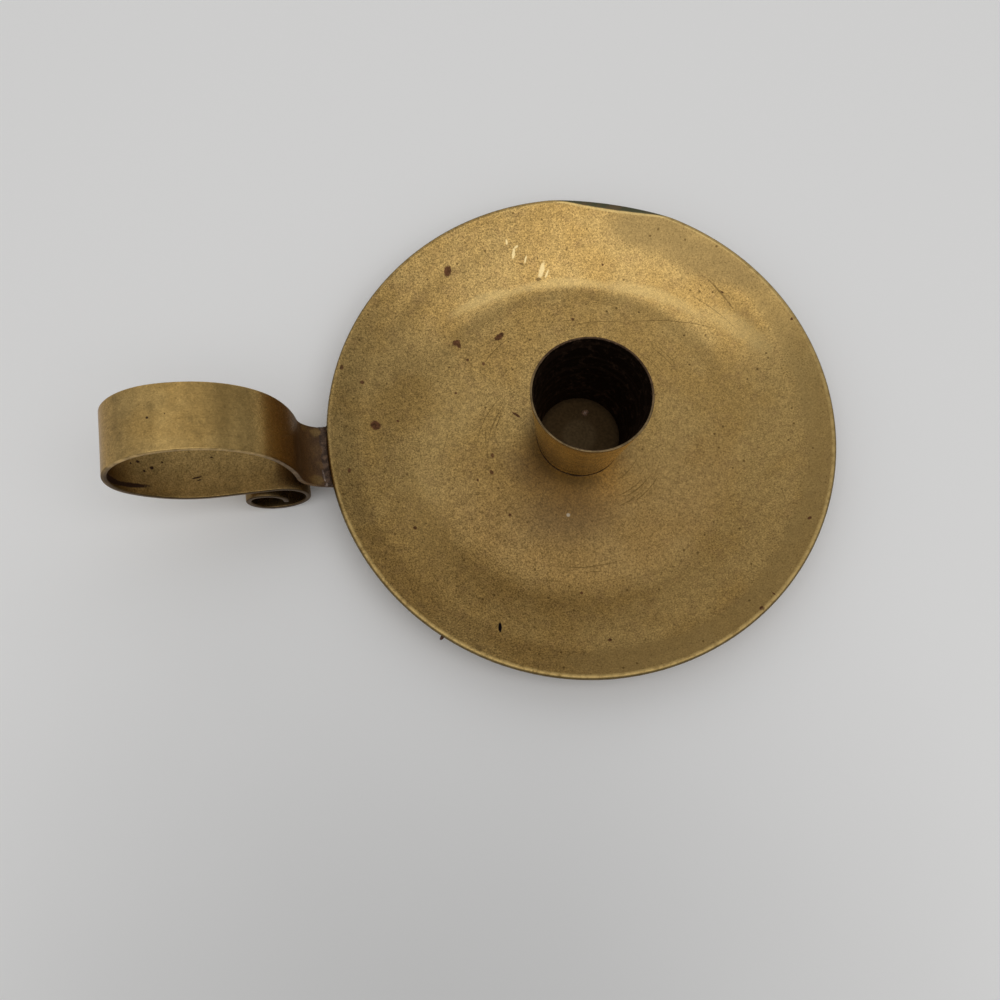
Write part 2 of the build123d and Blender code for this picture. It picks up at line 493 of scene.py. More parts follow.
    # A painted highlight where the far floor turns up into the wall
    farCoveHighlight = f.marks([
        sweep(37.0, 126, 34.8, 104, 2.0), sweep(34.9, 108, 34.3, 66, 1.9), sweep(34.4, 72, 37.4, 38, 2.3),
        sweep(38.5, 36, 43.5, 17, 3.4),
    ], polar, grit, 0.5, 0.5)
    colour = f.lay(colour, pan["bright"], farCoveHighlight, 0.34)
    # Tarnish and painted shade round the socket's foot, most of it on the near side. The ring hugging the
    # foot on the left and near side is painted shadow.
    colour = f.fade(colour, pan["footTarnishShade"], f.plus(radius, f.times(mottle, 5)), 17.0, 10.5, 0.38)
    tarnishShadeWedge = f.marks([(-9.8, -7.4, 7.2, 3.6, -48), (-4.6, -15.5, 9.0, 6.0, 0)], flat, mottle, 0.5, 0.65)
    colour = f.lay(colour, pan["nearTarnishShade"], tarnishShadeWedge, 0.45)
    footShadowRing = f.times(f.step(radius, 12.4, 9.4), f.step(f.plus(x, f.times(y, 0.5)), 2, -7))
    colour = f.lay(colour, pan["footShade"], footShadowRing, 0.45)
    # The sooty disc inside the socket, paler in the middle and darkest next to the wall
    inside = f.step(radius, 8.9, 8.4)
    worn = f.step(f.plus(radius, f.times(rag, 1.2)), 4.6, 3.6)
    sooty = f.lay(pan["soot"], pan["paleSoot"], worn, 0.4)
    sooty = f.fade(sooty, pan["deepSoot"], radius, 6.9, 8.3, 0.6)
    colour = f.tint(inside, colour, f.shaded(sooty, rag, 0.18))
    # Single marks
    ovals = f.marks([
        (-22.2, 38.3, 0.75, 1.15, -20), (-22.3, 23.7, 0.85, 0.62, 25), (-21.9, 23.2, 0.45, 0.75, 12),
        (-13.3, 23.9, 0.95, 0.62, 28), (-12.6, 24.5, 0.5, 0.45, 0), (-41.0, 6.3, 1.0, 0.98, 0),
        (-12.2, 6.2, 1.0, 0.28, -42),
    ], flat, rag, 0.30, 0.22)
    dots = f.marks([
        (-20.5, 19.6, 0.3, 0.3, 0), (-17.3, 18.3, 0.3, 0.4, 0), (-23.9, 12.5, 0.27, 0.27, 0),
        (-42.6, 15.3, 0.4, 0.4, 0), (-36.5, 7.3, 0.27, 0.27, 0), (-46.2, 18.0, 0.35, 0.55, -20),
        (-18.3, -2.0, 0.32, 0.5, 0), (-19.0, -5.5, 0.35, 0.55, 30), (-22.0, -6.8, 0.25, 0.25, 0),
        (-35.7, -15.7, 0.38, 0.35, 0), (-16.6, -14.9, 0.3, 0.3, 0), (-47.0, -3.4, 0.28, 0.5, -15),
        (-5.0, -32.6, 0.3, 0.25, 0), (-1.7, -43.0, 0.38, 0.32, 0), (41.0, -25.1, 0.4, 0.28, 30),
        (11.0, 36.9, 0.24, 0.24, 0), (2.9, 26.1, 0.32, 0.32, 0), (34.6, 26.3, 0.45, 0.16, -50),
    ], flat, rag, 0.30, 0.25)
    marked = f.most(f.times(ovals, 0.92), f.times(dots, 0.85))
    colour = f.tint(marked, colour, f.shaded(pan["brown"], rag, 0.45))
    black = f.marks([(-22.1, -37.8, 0.34, 0.95, -8)], flat, rag, 0.25, 0.2)
    colour = f.tint(black, colour, pan["black"])
    flakes = f.marks([(27.5, -41.6, 0.55, 0.42, 40), (46.9, 17.0, 0.5, 0.32, 20),
                      (30.6, -39.3, 0.8, 0.12, 120)], flat, rag, 0.4, 0.25)
    colour = f.tint(flakes, colour, pan["brown"])
    scuffs = f.marks([
        (-2.1, 37.4, 0.48, 1.6, -24), (-1.1, 36.6, 0.20, 0.8, -30), (-7.7, 41.2, 0.30, 1.0, -14),
        (-7.0, 42.4, 0.45, 0.2, 30), (-5.3, 39.8, 0.18, 0.75, -22), (-8.9, 43.5, 0.2, 0.5, 0),
    ], flat, rag, 0.45, 0.35)
    colour = f.lay(colour, pan["scuff"], scuffs, 0.8)
    lifted = f.marks([(-3.0, 35.75, 0.6, 0.3, 5), (-6.3, 39.0, 0.6, 0.2, -20)], flat, rag, 0.4, 0.4)
    colour = f.lay(colour, pan["speck"], lifted, 0.8)
    wax = f.marks([(-5.0, -16.5, 0.36, 0.36, 0)], flat, rag, 0.25, 0.25)
    colour = f.lay(colour, pan["wax"], wax, 0.9)
    # The outside of the edge and the dent are dark and green, and the underside is brown
    # A bright line just inside the edge: worn brass and a painted highlight, fainter on the far side
    # beside the handle
    crest = f.step(radius, pan["radius"] - 1.15, pan["radius"] - 0.85)
    patchy = f.step(grit, 0.30, 0.60, low=0.10, high=0.75)
    wornAway = f.step(f.towards(-0.77, 0.64), 44, 22, low=0.15)
    colour = f.tint(f.times(crest, patchy, wornAway), colour, pan["crest"])
    way, reach = radians(pan["dentHeading"]), pan["dentReach"]
    pastCrease = f.swayed(f.towards(cos(way), sin(way)), mottle, 0.25)
    dented = f.step(pastCrease, reach - 0.05, reach + 0.22)
    colour = f.fade(colour, pan["bright"], pastCrease, reach - 0.45, reach - 0.2, 0.5)
    colour = f.fade(colour, pan["rim"], radius, pan["radius"] - 0.45, pan["radius"] - 0.15, 0.72)
    green = f.fade(pan["verdigris"], pan["greenBrown"], mottle, 0.40, 0.62)
    colour = f.lay(colour, green, dented, 0.96)
    facing = f.parts(f.add("ShaderNodeNewGeometry").outputs["Normal"])[2]
    under = f.step(facing, 0.1, -0.3)
    below = f.fade(pan["underBrown"], pan["underGold"], mottle, 0.35, 0.65)
    colour = f.tint(under, colour, f.fade(below, pan["brown"], grit, 0.42, 0.3, 0.8))

    dirt = f.most(marked, black, f.times(inside, 0.9), f.times(dented, 0.8), wax)
    roughness = f.plus(
        f.step(grain, 0.3, 0.7, low=0.29, high=0.22), f.step(y, 14, -34, high=pan["nearDull"]),
        f.times(under, 0.12), f.times(dirt, 0.25))
    height = f.plus(f.times(grain, 0.5), f.times(grit, 0.5))
    height = f.math("SUBTRACT", height, f.times(f.most(pits, arcs, scratches), 0.5))
    f.relief(f.times(height, f.math("SUBTRACT", 1.0, f.times(smooth, 0.4))), 0.009)
    metallic = f.math("SUBTRACT", 1.0, f.times(f.most(wax, f.times(dented, 0.5)), 0.8))
    f.coat([piece], colour, roughness, metallic)


finishPan(makePan())


# The candle socket: a tapered tube, its lower edge turned under a little

socketLow, socketHigh = nodeBox("candle_socket")
socket = {
    "mouth": socketHigh[0] + 0.02,
    "foot": 8.7,
    "wall": 0.5,
    "base": socketLow[2],
    "top": socketHigh[2],
    "lipRound": 0.15,
    "footRound": 0.375,
    "columns": 200,
    "oval": 0.05,
    "grooveHeight": 2.6,
    "grooveDepth": 0.07,
    "grooveWidth": 0.22,
    "gold": (0.350, 0.254, 0.074),
    "paleGold": (0.480, 0.346, 0.112),
    # painted highlight: the socket is made paler towards the right
    "rightGlint": 2.3,        # how much paler it is towards the right
    "glance": (0.94, 0.86, 0.74),
    "brown": (0.125, 0.073, 0.024),
    "lip": (0.215, 0.148, 0.072),
    "lipBrown": (0.085, 0.048, 0.030),
    "bright": (0.66, 0.46, 0.15),
    "soot": (0.038, 0.023, 0.014),
    "sootBrown": (0.210, 0.130, 0.085),
    "footShade": (0.035, 0.016, 0.010),
}


def makeSocket():
    # The wall's outline, lip and foot rounded, is carried round the axis. The radius swells and
    # shrinks twice a turn by the oval, and a shallow groove is turned just above the foot.
    corners = [
        (socket["mouth"] - socket["wall"], socket["top"]),
        (socket["mouth"], socket["top"]),
        (socket["foot"], socket["base"]),
        (socket["foot"] - socket["wall"], socket["base"]),
    ]
    radii = (socket["lipRound"], socket["lipRound"], socket["footRound"], 0.04)
    outline = roundedLoop(corners, radii, 0.35)
    r, phi = np.meshgrid(outline[:, 0], wholeTurn(socket["columns"]), indexing="ij")
    z = outline[:, 1:] + 0 * phi
    share = (z - socket["base"]) / (socket["top"] - socket["base"])
    outside = r > socket["foot"] + share * (socket["mouth"] - socket["foot"]) - socket["wall"] / 2
    groove = np.exp(-((z - socket["base"] - socket["grooveHeight"]) / socket["grooveWidth"]) ** 2)
    r = r - np.where(outside, groove * socket["grooveDepth"], 0)
    r = r + socket["oval"] * share * np.cos(2 * phi + 0.8) + 0.02 * unevenness(20 * phi, z, 5, 14, 11)
    return makePiece("candleSocket", roundAxis(r, phi, z), "root", ["candle_socket"])


def finishSocket(piece):
    f = Finish("socketBrass")
    base, top = socket["base"], socket["top"]
    x, y, z = f.parts(f.place)
    radius = f.vector("LENGTH", f.vector("MULTIPLY", f.place, (1, 1, 0)))
    height = f.math("DIVIDE", f.math("SUBTRACT", z, base), top - base)
    taper = f.plus(f.times(height, socket["mouth"] - socket["foot"]), socket["foot"])
    depth = f.math("SUBTRACT", taper, radius)     # from the outer face into the wall
    inside = f.step(depth, socket["wall"] * 0.62, socket["wall"] * 0.9)
    mottle, grain = f.noise(2.2, 3, 0.6), f.noise(0.30, 3, 0.6)
    turned = f.noise(1.0, 3, 0.6, stretch=(0.10, 0.10, 3.2))    # faint marks of the lathe
    colour = f.fade(socket["gold"], socket["paleGold"], mottle, 0.4, 0.62)
    colour = f.fade(colour, socket["brown"], turned, 0.50, 0.66, 0.45)
    rings = f.noise(1.0, 2, 0.5, stretch=(0.09, 0.09, 0.62))    # broader ones, darker
    colour = f.fade(colour, socket["brown"], rings, 0.48, 0.64, 0.36)
    # Painted highlight: paler towards the right
    colour = f.toned(f.shaded(colour, grain, 0.22), x, 1, 6.5, 1.0, socket["rightGlint"])
    aboveGroove = f.math("SUBTRACT", z, base + socket["grooveHeight"])
    colour = f.fade(colour, socket["brown"], f.math("ABSOLUTE", aboveGroove), 0.3, 0.1, 0.75)
    # Painted reflection: a paler band just above the foot
    colour = f.fade(colour, socket["bright"], f.plus(z, mottle), base + 2.9, base + 1.9, 0.35)
    colour = f.fade(colour, socket["brown"], z, top - 1.6, top - 0.45, 0.7)
    lip = f.step(z, top - 0.20, top - 0.08)
    farSide = f.step(f.plus(y, f.times(x, 0.4)), -2, 7)
    worn = f.lay(socket["lip"], socket["lipBrown"], farSide, 0.8)
    colour = f.tint(lip, colour, f.shaded(worn, f.noise(1.1, 3), 0.35))
    sooty = f.fade(socket["soot"], socket["sootBrown"], f.noise(1.4, 4, 0.65), 0.5, 0.75)
    ringed = f.noise(2.6, 2, 0.5, stretch=(0.06, 0.06, 1.6))
    sooty = f.fade(sooty, socket["sootBrown"], ringed, 0.52, 0.62, 0.22)
    colour = f.tint(inside, colour, sooty)
    # Painted shadow in the crevice at the foot
    colour = f.fade(colour, socket["footShade"], z, base + 0.55, base + 0.2, 0.8)

    roughness = f.plus(f.step(grain, 0.3, 0.7, low=0.29, high=0.19), f.times(inside, 0.30))
    f.relief(f.plus(f.times(grain, 0.4), f.times(turned, 0.6)), 0.018)
    f.coat([piece], colour, roughness, glance=socket["glance"])


finishSocket(makeSocket())


# The ring of solder that holds the socket, and a bead of old wax on the floor inside it

socketSolder = {
    "rise": 0.5,
    "toe": 0.15,
    "columns": 160,
    "sunk": 0.03,            # how deep it goes into the pan
    "dark": (0.035, 0.020, 0.014),
    "brown": (0.13, 0.075, 0.040),
    "bright": (0.30, 0.19, 0.11),
}


def makeSocketSolder():
    # A small three-sided section with a hollow face, carried round the foot. The toe runs out and
    # in by the unevenness of hand-run solder.
    share = np.linspace(0, 1, 6)
    turn = wholeTurn(socketSolder["columns"])
    lumps = unevenness(socket["foot"] * turn, 0 * turn, 1.6, 7, 23)
    toe = socketSolder["toe"] * (1.1 + 0.8 * lumps)
    rise = socketSolder["rise"] * (0.85 + 0.35 * np.roll(lumps, 11))
    inner = socket["foot"] - socket["footRound"]
    r = socket["foot"] + toe * share[:, None] ** 1.4
    z = socket["base"] + rise * (1 - share[:, None]) ** 1.8
    r = np.vstack([inner + 0 * turn, r, inner + 0 * turn])
    z = np.vstack([socket["base"] + 0.3 + 0 * turn, z, socket["base"] - socketSolder["sunk"] + 0 * turn])
    return makePiece("socketSolder", roundAxis(r, turn, z), "root", ["socket_solder"])


def finishSolder(pieces, name, shades):
    f = Finish(name)
    blotch, grain = f.noise(0.9, 4, 0.65), f.noise(0.25, 3, 0.6)
    colour = f.fade(shades["dark"], shades["brown"], blotch, 0.42, 0.66)
    colour = f.fade(colour, shades["bright"], grain, 0.62, 0.74, 0.7)
    roughness = f.step(blotch, 0.3, 0.7, low=0.62, high=0.40)
    f.relief(f.plus(blotch, f.times(grain, 0.4)), 0.06)
    f.coat(pieces, colour, roughness, 0.75)


finishSolder([makeSocketSolder()], "socketSolderDark", socketSolder)

waxBead = {
    "place": (2.0, 4.7),
    "radius": 0.72,
    "height": 0.62,
    "lifted": 0.02,          # the uneven floor of the pan stands so much higher there
    "sunk": 0.05,
    "tan": (0.25, 0.145, 0.085),
    "brown": (0.16, 0.085, 0.05),
}


def makeWaxBead():
    # A low dome: the radius falls as the cosine of the height angle and is pinched and swollen
    # round it, down to a flat foot on the pan
    lift = np.radians(np.linspace(88, 0, 12))[:, None]
    turn = wholeTurn(28)[None]
    r = waxBead["radius"] * np.cos(lift) * (1 + 0.10 * np.sin(2 * turn + 0.5) + 0.07 * np.sin(3 * turn))
    z = waxBead["height"] * np.sin(lift) * (1 + 0.06 * np.sin(turn))
    r, z = np.vstack([r, r[-1:] * 0.5]), np.vstack([z, z[-1:] - waxBead["sunk"]])
    base = pan["sheet"] + waxBead["lifted"]
    x, y = waxBead["place"]
    tips = [(x, y, base + waxBead["height"]), (x, y, base - waxBead["sunk"])]
    piece = makePiece("waxBead", roundAxis(r, turn, base + z) + (x, y, 0), "root", tips=tips)
    f = Finish("oldWax", metallic=0.0)
    blotch = f.noise(0.5, 3)
    colour = f.fade(waxBead["tan"], waxBead["brown"], blotch, 0.4, 0.7)
    f.relief(blotch, 0.05)
    f.coat([piece], colour, f.step(blotch, 0.3, 0.7, low=0.55, high=0.4))


makeWaxBead()


# The handle: one strip, bent into a loop with a scroll at its end

stripLow, stripHigh = nodeBox("handle_strip")
strip = {
    "width": stripHigh[1] - stripLow[1],
    "thickness": 1.0,
    "edgeRound": 0.22,
    "tabLength": 6.5,
    "tabReach": 1.0,
    "solderFilm": 0.15,
    "footBend": 8.3,
    "neckHeading": 91.0,
    "neckTopHeading": 109.0,
    "crown": 19.4,
    "nose": 11.7,
    "noseEndHeading": 305.0,
    "loopHeight": 25.3,
    "scroll": 5.4,
    "scrollSide": 6.0,
    "curlEnd": 4.2,
    "curlEndTurn": 100.0,
    "curlGap": 1.1,
    "neckGap": 1.1,
    "tableGap": stripLow[2],
    "driftStart": -0.15,     # the strip leans a little to one side as it leaves the pan
    "driftEnd": -1.25,
    "driftRest": 1.9,        # the length at its end that leans no further
    "stations": 470,
    "wave": 0.035,
    "edgeWave": 0.07,
    "gold": (0.50, 0.318, 0.104),
    "paleGold": (0.57, 0.378, 0.134),
    "olive": (0.300, 0.200, 0.072),
    "speck": (0.150, 0.088, 0.030),
    "orange": (0.285, 0.168, 0.070),
    "brown": (0.215, 0.128, 0.062),
    "purple": (0.115, 0.067, 0.042),
    "bare": (0.33, 0.215, 0.085),
    "scrollBrown": (0.195, 0.128, 0.058),
    "glance": (0.84, 0.77, 0.70),
    "noseTan": (0.26, 0.185, 0.090),
    "innerGold": (0.37, 0.245, 0.090),
    "stain": (0.026, 0.009, 0.010),
    "wornEdge": (0.50, 0.345, 0.145),
    "neckEdge": (0.165, 0.115, 0.072),
    "darkEdge": (0.036, 0.022, 0.014),
}


def stripPieces():
    # Where the strip starts, which way it heads, and its straight and bent pieces in order
    s, t = strip, strip["thickness"]
    edge, outward, downward = besideBrim()
    depth = pan["half"] + s["solderFilm"] + t / 2
    start = edge - s["tabLength"] * outward + depth * downward
    bendStart = edge + s["tabReach"] * outward + depth * downward
    bendCentre = bendStart - s["footBend"] * downward
    runHeight = s["tableGap"] + t / 2 + 2 * s["scroll"]
    crownHeight = runHeight + t + s["loopHeight"]
    rise = lambda one, two: cos(radians(one)) - cos(radians(two))
    neckStart = bendCentre[1] + s["footBend"] * cos(radians(s["neckHeading"]))
    neck = (crownHeight - s["crown"] * rise(s["neckTopHeading"], 180) - neckStart) / rise(
        s["neckHeading"], s["neckTopHeading"])
    belly = (crownHeight + s["nose"] * rise(180, s["noseEndHeading"]) - runHeight) / -rise(
        s["noseEndHeading"], 360)
    scrollHeight = runHeight - s["scroll"]
    apart = s["footBend"] + t + s["neckGap"] + s["scroll"]
    scrollX = bendCentre[0] - sqrt(apart ** 2 - (bendCentre[1] - scrollHeight) ** 2)
    startHeading = degrees(atan2(outward[1], outward[0]))
    bends = [
        (s["footBend"], s["neckHeading"] - startHeading),
        (neck, s["neckTopHeading"] - s["neckHeading"]),
        (s["crown"], 180 - s["neckTopHeading"]),
        (s["nose"], s["noseEndHeading"] - 180),
        (belly, 360 - s["noseEndHeading"]),
    ]
    pieces = [(s["tabLength"] + s["tabReach"], 0)]
    pieces += [(radius * radians(abs(turn)), turn) for radius, turn in bends]
    reached = bentPath(start, startHeading, pieces, [sum(length for length, turn in pieces)])[0][0]
    curl = 2 * s["scroll"] - s["scrollSide"] - t - s["curlGap"]
    ends = [(s["scroll"], -180), (s["scrollSide"], -90), (curl, -90), (s["curlEnd"], -s["curlEndTurn"])]
    pieces.append((scrollX - reached, 0))
    pieces += [(radius * radians(abs(turn)), turn) for radius, turn in ends]
    return start, startHeading, pieces


def stripPlaces(along):
    # The middle of the strip at those distances along it, and how far it has leant sideways
    start, heading, pieces = stripPieces()
    length = sum(piece[0] for piece in pieces)
    x, z, turned = bentPath(start, heading, pieces, np.clip(along, 0, length))
    tab = strip["tabLength"] + strip["tabReach"]
    leant = np.clip((along - tab) / (length - tab - strip["driftRest"]), 0, 1)
    lean = strip["driftStart"] + (strip["driftEnd"] - strip["driftStart"]) * leant
    return x, z, turned, lean, length


def makeStrip():
    # A rounded rectangle is carried along the path, square to it. Each end closes in a quarter
    # round, where the section shrinks as the cosine while it moves out as the sine.
    length = stripPlaces(np.array([0.0]))[4]
    along = np.linspace(0, length, strip["stations"])
    soft = np.radians(np.linspace(90, 15, 5))
    e = strip["edgeRound"]
    along = np.r_[e * (1 - np.sin(soft)), along[2:-2], length - e * (1 - np.sin(soft[::-1]))]
    shrink = np.r_[e * (1 - np.cos(soft)), 0 * along[10:], e * (1 - np.cos(soft[::-1]))]
    x, z, turned, lean, length = stripPlaces(along)
    halfWidth, halfThick = strip["width"] / 2, strip["thickness"] / 2
    corners = np.array([(-1, -1), (-1, 1), (1, 1), (1, -1)]) * (halfWidth, halfThick)
    outline = roundedLoop(corners, [e] * 4, 0.5)
    across = outline[:, 0][None] - np.sign(outline[:, 0])[None] * shrink[:, None]
    through = outline[:, 1][None] * (1 - shrink[:, None] / halfThick)
    # The bends are a little uneven, and the edges wander
    ripple = strip["wave"] * unevenness(along[:, None] + 0 * across, across, 6, 26, 31)
    wander = strip["edgeWave"] * unevenness(along, 0 * along, 9, 40, 37)[:, None]
    lift = through + ripple
    px = x[:, None] - np.sin(turned)[:, None] * lift
    pz = z[:, None] + np.cos(turned)[:, None] * lift
    py = across + lean[:, None] + wander
    grid = np.stack([px, py, pz], -1)
    tips = [grid[0].mean(0), grid[-1].mean(0)]
    places = np.stack([along[:, None] + 0 * across, across, through], -1).reshape(-1, 3)
    places = np.vstack([places, [(along[0], 0, 0), (along[-1], 0, 0)]])
    return makePiece("handleStrip", grid, "root", ["handle_strip"], tips, places)


def finishStrip(piece):
    f = Finish("stripBrass", attribute="stripPlace")
    along, across, through = f.parts(f.along)
    flat = f.vector("MULTIPLY", f.along, (1, 1, 0))
    inner = f.step(through, -0.05, 0.05)           # the face that looks into the loop
    mottle, grain = f.noise(2.2, 4, 0.6), f.noise(0.30, 2, 0.7)
    clouds, rag = f.noise(8, 3), f.noise(0.55, 2)
    drawn = f.noise(1.0, 3, 0.6, at=f.along, stretch=(0.10, 2.4, 1))   # rubbed lengthways

    colour = f.fade(strip["gold"], strip["paleGold"], clouds, 0.38, 0.66)
    colour = f.fade(colour, strip["olive"], mottle, 0.48, 0.76, 0.55)
    colour = f.fade(colour, strip["speck"], drawn, 0.56, 0.72, 0.22)
    # Soft lighter and darker bands across the strip: painted highlights and shade standing in for
    # reflections off the slight unevenness left where it was bent round a form
    bentBandHighlights = f.noise(1.0, 2, 0.6, at=f.along, stretch=(0.30, 0.035, 1))
    colour = f.shaded(colour, bentBandHighlights, 0.17)
    # Duller towards the nose, and on the face that looks into the loop
    colour = f.fade(colour, strip["noseTan"], f.plus(along, f.times(clouds, 8)), 53, 62, 0.35)
    colour = f.tint(inner, colour, f.fade(strip["innerGold"], strip["olive"], mottle, 0.42, 0.7))
    # Heat from soldering: orange, then brown, then purple towards the pan
    wavy = f.swayed(f.swayed(along, clouds, 9), mottle, 4)
    colour = f.fade(colour, strip["olive"], wavy, 47, 34, 0.62)
    colour = f.fade(colour, strip["orange"], wavy, 34, 24, 0.85)
    colour = f.fade(colour, strip["brown"], wavy, 23.0, 17.5)
    dusk = f.times(f.step(wavy, 13, 8, high=0.8), f.step(mottle, 0.3, 0.6))
    colour = f.tint(dusk, colour, strip["purple"])
    bare = f.marks([(9.0, 4.8, 1.5, 0.9, 0), (10.0, -5.0, 1.9, 1.0, 0), (12.5, 5.3, 1.2, 0.7, 0)],
                   flat, mottle, 0.9, 0.4)
    colour = f.lay(colour, strip["bare"], bare, 0.7)
    # The scroll is brown inside and out
    colour = f.fade(colour, strip["scrollBrown"], f.plus(along, f.times(mottle, 6)), 103, 114, 0.8)
    grainy = f.tint(inner, f.shaded(colour, grain, 0.20), f.shaded(colour, grain, 0.36))
    colour = f.shaded(grainy, f.noise(0.9, 2), 0.10)
    colour = f.lay(colour, strip["speck"], f.specks(0.9, 0.12, 0.28, 0.5, 0.6), 0.36)
    # Darker on the face inside the nose, and stains
    hollow = f.times(f.step(along, 57, 63), f.step(along, 79, 66), inner)
    colour = f.lay(colour, strip["speck"], hollow, 0.82)
    dots = f.marks([(51.6, 0.1, 0.22, 0.2, 0), (48.8, 0.4, 0.12, 0.12, 0)], flat, rag, 0.4, 0.3)
    innerDots = f.marks([
        (77.6, 0.2, 0.35, 0.25, 0), (80.5, -0.6, 0.4, 0.3, 20), (78.9, -1.4, 0.25, 0.25, 0),
        (89.0, -2.1, 0.9, 0.16, 12), (89.4, -2.6, 0.5, 0.12, 20), (74.5, 1.2, 0.3, 0.25, 0),
        (76.0, -0.4, 0.2, 0.2, 0), (82.6, 0.8, 0.2, 0.2, 0), (92.0, 1.8, 0.3, 0.16, 0),
    ], flat, rag, 0.5, 0.3)
    smear = f.marks([stroke(65.0, -5.5, 73.5, -4.9, 1.3), stroke(70.5, -5.2, 79.8, -4.2, 0.9)],
                    flat, rag, 0.35, 0.25)
    outer = f.math("SUBTRACT", 1.0, inner)
    marks = f.most(f.times(dots, outer), f.times(f.most(innerDots, smear), inner))
    colour = f.lay(colour, strip["stain"], marks, 0.92)
    # Worn edges
    edge = f.step(f.math("ABSOLUTE", across), strip["width"] / 2 - 0.20, strip["width"] / 2 - 0.08)
    edgeColour = f.fade(strip["neckEdge"], strip["wornEdge"], along, 27, 36)
    edgeColour = f.shaded(f.fade(edgeColour, strip["darkEdge"], along, 56, 66), f.noise(1.6, 3), 0.4)
    colour = f.tint(f.times(edge, f.step(along, 11, 17), 0.85), colour, edgeColour)

    burnt = f.step(wavy, 22, 14)
    roughness = f.plus(
        f.step(grain, 0.3, 0.75, low=0.34, high=0.25), f.times(f.most(burnt, marks), 0.20),
        f.times(inner, 0.06))
    f.relief(f.plus(f.times(grain, 0.35), f.times(drawn, 0.35), f.times(burnt, mottle, 0.9)), 0.016)
    f.coat([piece], colour, roughness, glance=strip["glance"])


finishStrip(makeStrip())


# The solder between the tab and the brim, with the bead and the streak it left

handleSolder = {
    "fillet": 1.5,
    "rows": 90,
    "lump": 0.16,
    "dark": (0.050, 0.030, 0.020),
    "brown": (0.125, 0.075, 0.045),
    "bright": (0.21, 0.14, 0.095),
}


def makeHandleSolder():
    # A section in the plane of the handle, carried across the strip: along the tab's face, up a
    # hollow fillet to the pan's edge and back under the brim. Lumps push the fillet out and in.
    half = pan["half"]
    edge, outward, downward = besideBrim()
    reach = handleSolder["fillet"] + half
    face = half + strip["solderFilm"] + 0.03
    curve = np.linspace(0, 1, 14)
    toeShare = (1 - curve) ** 1.7
    tabEnd, top = -strip["tabLength"], half * 0.72
    outs = np.r_[np.linspace(tabEnd, reach * 0.8, 16), top + (reach - top) * toeShare,
                 np.linspace(half * 0.4, tabEnd, 16)]
    downs = np.r_[np.full(16, face), face - (face + half * 0.25) * curve ** 1.5 * 0.9,
                  np.linspace(0, half - 0.04, 16)]
    onFillet = np.r_[np.zeros(12), np.linspace(0, 1, 4), np.ones(14), np.linspace(1, 0, 16) ** 3]
    y = np.linspace(1, -1, handleSolder["rows"])
    rounded = np.clip((1 - np.abs(y)) / 0.05, 0, 1) ** 0.5
    lumps = unevenness(6 * y[:, None] + 0 * outs, outs + 0 * y[:, None], 0.9, 3.4, 43)
    push = handleSolder["lump"] * lumps * onFillet
    outs = outs[None] + push
    downs = downs[None] - 0.6 * push
    # It draws in towards both edges of the strip
    outs = np.where(onFillet > 0, outs * (0.55 + 0.45 * rounded[:, None]), outs)
    px = edge[0] + outs * outward[0] + downs * downward[0]
    pz = edge[1] + outs * outward[1] + downs * downward[1]
    py = y[:, None] * (strip["width"] / 2 + 0.02) + strip["driftStart"] + 0 * px
    grid = np.stack([px, py, pz], -1)
    tips = [grid[0].mean(0), grid[-1].mean(0)]
    return makePiece("handleSolder", grid, "root", ["handle_solder"], tips)


def makeDrop(name, place, sizes, turn, seed, slot="solder"):
    # A squashed ball with a slightly lumpy skin
    lift, around = np.meshgrid(np.radians(np.linspace(82, -82, 14)), wholeTurn(24), indexing="ij")
    swell = 1 + 0.10 * unevenness(3 * around, 3 * lift, 2, 6, seed)
    ball = roundAxis(np.cos(lift), around, np.sin(lift)) * swell[..., None] * np.array(sizes)
    c, s = cos(radians(turn)), sin(radians(turn))
    ball = ball @ np.array([(c, s, 0), (-s, c, 0), (0, 0, 1)])
    tips = [np.array(place) + (0, 0, sizes[2]), np.array(place) - (0, 0, sizes[2])]
    return makePiece(name, ball + np.array(place), "root", tips=tips)


finishSolder([makeHandleSolder()], "handleSolderDark", handleSolder)

# Bright drops of solder, and a flake of old dirt on the pan's edge, near the handle
solderDrops = {
    "bead": {"place": (-51.6, -6.05, 8.2), "sizes": (0.42, 0.36, 0.36), "turn": 20, "seed": 51},
    "streak": {"place": (-51.95, -4.2, 8.42), "sizes": (0.28, 1.3, 0.20), "turn": 8, "seed": 53},
    "dark": (0.13, 0.090, 0.070),
    "brown": (0.30, 0.225, 0.180),
    "bright": (0.60, 0.50, 0.42),
}
edgeFlake = {
    "drop": {"place": (-33.15, -38.45, 7.9), "sizes": (0.75, 0.34, 0.42), "turn": 49, "seed": 57},
    "dark": (0.060, 0.026, 0.018),
    "brown": (0.120, 0.055, 0.038),
    "bright": (0.20, 0.11, 0.07),
}
finishSolder([
    makeDrop("solderBead", **solderDrops["bead"]),
    makeDrop("solderStreak", **solderDrops["streak"]),
], "solderBright", solderDrops)
finishSolder([makeDrop("edgeFlake", **edgeFlake["drop"], slot="pan_brass")], "edgeDirt", edgeFlake)


# The table, the light and the camera. The photograph's own axes are turned a little from the part's.

